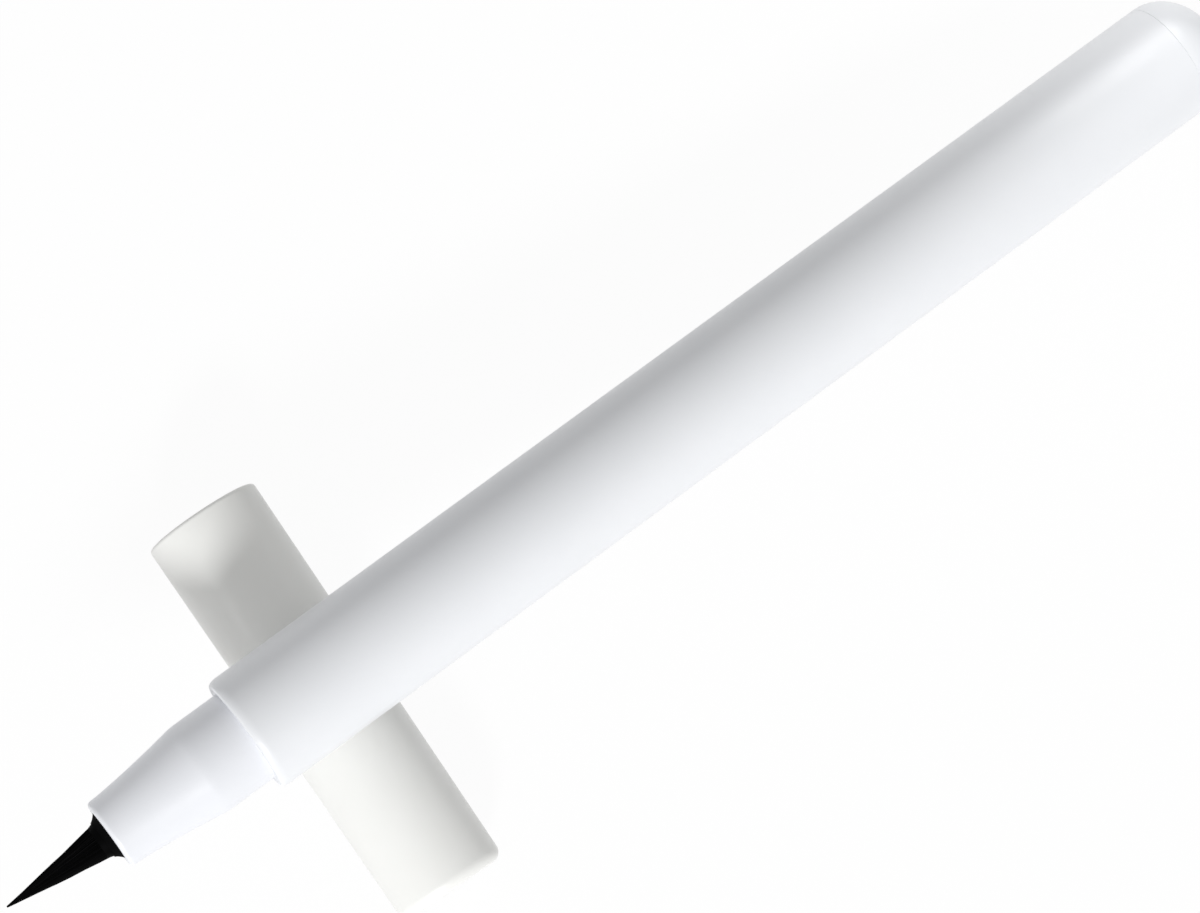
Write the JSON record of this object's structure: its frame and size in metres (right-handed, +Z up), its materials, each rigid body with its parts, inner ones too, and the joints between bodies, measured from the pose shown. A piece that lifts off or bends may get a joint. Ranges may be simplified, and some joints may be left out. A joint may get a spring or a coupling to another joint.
{
  "type": "liquid eyeliner pen",
  "caption": "Brush-tip liquid eyeliner pen lying across its removed cap: barrel with ink tank, comb collector, feed rod and fine bristle brush.",
  "frame": {"origin": "on the surface that the pen lies on, below the middle of the part's box", "axes": "+X along the pen towards its tail, +Y along the cap towards its open mouth, +Z up"},
  "size_m": [0.1252, 0.038, 0.022],
  "materials": {
    "white_plastic": "smooth satin gloss, moulded",
    "natural_plastic": "natural milky moulding",
    "black_plastic": "satin black",
    "inked_bristle": "fine fibres wet with black ink",
    "black_rubber": "matt rubber",
    "fibre": "pressed fibre soaked with ink",
    "steel": "polished ball"
  },
  "bodies": {
    "pen": {"barrel": "white_plastic", "tail_plug": "white_plastic", "nose": "white_plastic", "nose_seal": "black_rubber", "brush_collar": "black_plastic", "brush": "inked_bristle", "brush_holder": "white_plastic", "collector": "natural_plastic", "tank_stopper": "natural_plastic", "feed_rod": "fibre", "ink_tank": "natural_plastic"},
    "cap": {"cap_shell": "white_plastic", "inner_cap": "natural_plastic"},
    "ball": {"mixing_ball": "steel"}
  },
  "joints": [
    {"name": "cap_slide", "type": "slide", "parent": "pen", "child": "cap", "axis": [0, -1, 0], "range_m": [0, 0.04]},
    {"name": "ball_travel", "type": "slide", "parent": "pen", "child": "ball", "axis": [-0.9923, -0.0407, 0.1172], "range_m": [0, 0.0407]}
  ]
}
